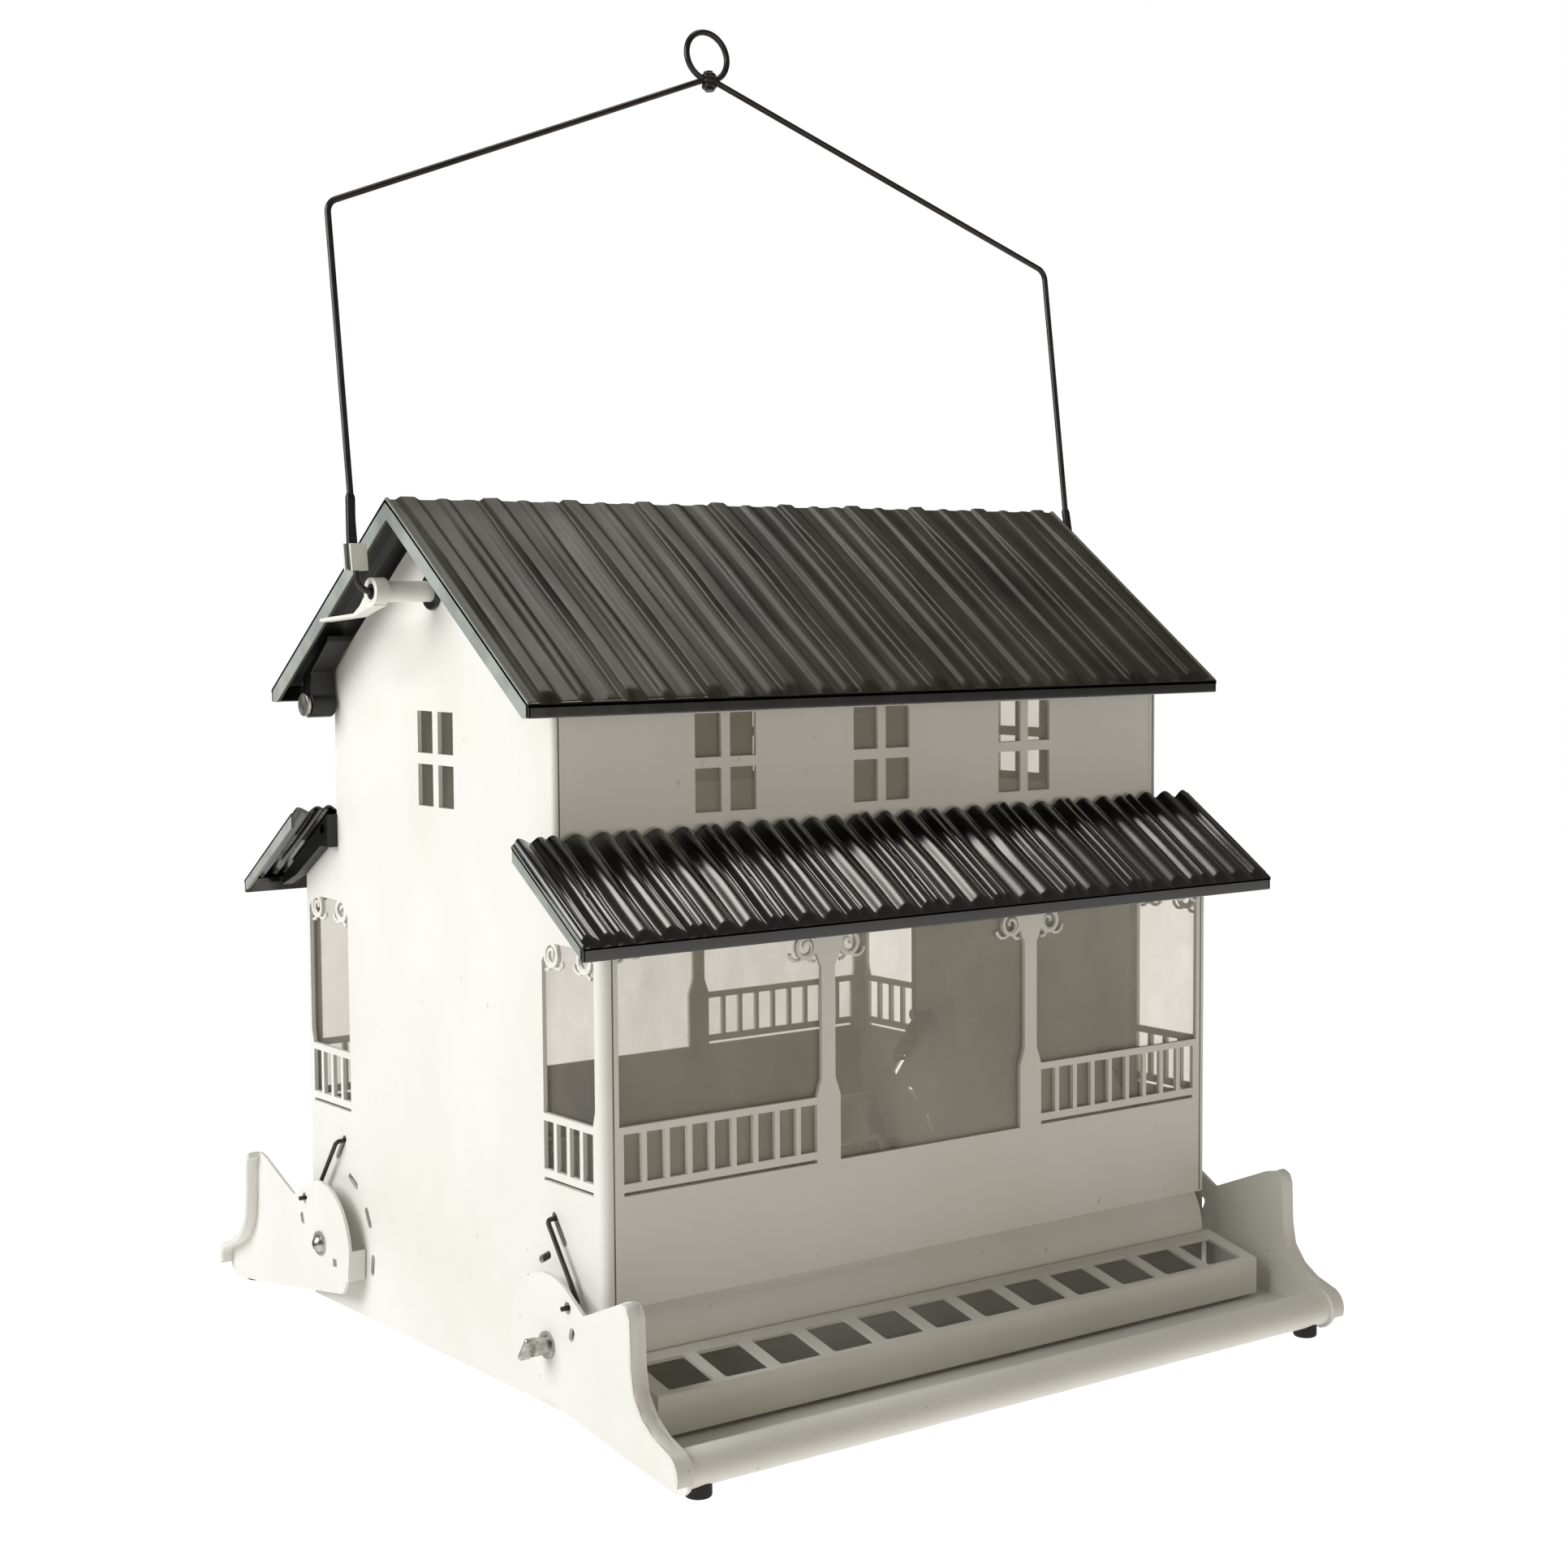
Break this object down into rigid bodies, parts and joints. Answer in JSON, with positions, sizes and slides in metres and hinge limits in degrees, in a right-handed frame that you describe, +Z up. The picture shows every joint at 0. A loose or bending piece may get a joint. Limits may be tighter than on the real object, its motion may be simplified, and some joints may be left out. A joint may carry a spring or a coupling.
{
  "type": "hanging bird feeder",
  "caption": "Hanging seed feeder shaped like a two-storey farmhouse, with a lift-up roof and weight-sensitive perches that shut the seed ports.",
  "frame": {"origin": "centre of the hanging loop at the top of the wire bail", "axes": "+Z up, +X along the ridge towards the right gable, -Y towards the front porch"},
  "size_m": [0.327, 0.3188, 0.4753],
  "materials": {
    "roof_paint": "satin charcoal powder coat on ribbed sheet steel",
    "porch_roof_enamel": "gloss black baked enamel on ribbed sheet steel",
    "wall_paint": "ivory satin powder coat on sheet steel",
    "clear_pane": "clear polycarbonate, standing in for glass",
    "zinc_steel": "bright zinc-plated steel",
    "bail_wire": "dark brown coated steel wire",
    "black_plastic": "black moulded nylon",
    "white_plastic": "white moulded nylon",
    "rubber": "black moulded rubber"
  },
  "bodies": {
    "bail": {"hanger_bail": "bail_wire", "bail_sleeves": "white_plastic", "bail_boots": "black_plastic"},
    "house": {"roof_hinge_pins": "zinc_steel", "porch_roof_front": "porch_roof_enamel", "porch_roof_rear": "porch_roof_enamel", "porch_roof_clips_front": "black_plastic", "porch_roof_clips_rear": "black_plastic", "gable_wall_left": "wall_paint", "gable_wall_right": "wall_paint", "upper_wall_front": "wall_paint", "upper_wall_rear": "wall_paint", "porch_wall_front": "wall_paint", "porch_wall_rear": "wall_paint", "window_panes_front": "clear_pane", "window_panes_rear": "clear_pane", "porch_panes_front": "clear_pane", "porch_panes_rear": "clear_pane", "gable_window_pane_left": "clear_pane", "gable_window_pane_right": "clear_pane", "gable_porch_panes_left": "clear_pane", "gable_porch_panes_right": "clear_pane", "floor_pan": "wall_paint", "seed_baffle": "wall_paint", "seed_tray_front": "wall_paint", "seed_tray_rear": "wall_paint", "crossbar": "wall_paint", "crossbar_plugs": "black_plastic", "crossbar_grommets": "black_plastic", "crossbar_strap_left": "wall_paint", "crossbar_strap_right": "wall_paint", "spring_posts": "zinc_steel", "spring_front_left": "zinc_steel", "spring_front_right": "zinc_steel", "spring_rear_left": "zinc_steel", "spring_rear_right": "zinc_steel"},
    "roof": {"main_roof": "roof_paint", "roof_hinge_straps": "black_plastic"},
    "perch_front": {"end_plate_front_left": "wall_paint", "end_plate_front_right": "wall_paint", "perch_rail_front": "wall_paint", "pivot_shaft_front": "zinc_steel", "seed_gate_front": "wall_paint", "pivot_spacers_front": "white_plastic", "perch_feet_front": "rubber", "pivot_screws_front": "zinc_steel"},
    "links_front": {"link_front_left": "bail_wire", "link_front_right": "bail_wire"},
    "perch_rear": {"end_plate_rear_left": "wall_paint", "end_plate_rear_right": "wall_paint", "perch_rail_rear": "wall_paint", "pivot_shaft_rear": "zinc_steel", "seed_gate_rear": "wall_paint", "pivot_spacers_rear": "white_plastic", "perch_feet_rear": "rubber", "pivot_screws_rear": "zinc_steel"},
    "links_rear": {"link_rear_left": "bail_wire", "link_rear_right": "bail_wire"}
  },
  "joints": [
    {"name": "house_swing", "type": "hinge", "parent": "bail", "child": "house", "pos_m": [0, -0.02598, -0.1973], "axis": [-1, 0, 0], "range_deg": [-30, 30]},
    {"name": "roof_lid", "type": "hinge", "parent": "house", "child": "roof", "pos_m": [0, 0.04902, -0.2373], "axis": [-1, 0, 0], "range_deg": [0, 80]},
    {"name": "perch_press_front", "type": "hinge", "parent": "house", "child": "perch_front", "pos_m": [0, -0.10597, -0.4353], "axis": [1, 0, 0], "range_deg": [0, 24], "stiffness_Nm_per_rad": 0.3, "springref_deg": -48.7},
    {"name": "perch_press_rear", "type": "hinge", "parent": "house", "child": "perch_rear", "pos_m": [0, 0.05402, -0.4353], "axis": [-1, 0, 0], "range_deg": [0, 24], "stiffness_Nm_per_rad": 0.3, "springref_deg": -48.7},
    {"name": "link_slide_front", "type": "slide", "parent": "house", "child": "links_front", "axis": [0, -0.6157, -0.788], "range_m": [0, 0.00792], "deforming": ["spring_front_left", "spring_front_right"]},
    {"name": "link_slide_rear", "type": "slide", "parent": "house", "child": "links_rear", "axis": [0, 0.6157, -0.788], "range_m": [0, 0.00792], "deforming": ["spring_rear_left", "spring_rear_right"]}
  ],
  "couplings": [
    {"joint": "link_slide_front", "follows": "perch_press_front", "m_per_rad": 0.018861},
    {"joint": "link_slide_rear", "follows": "perch_press_rear", "m_per_rad": 0.018861}
  ]
}
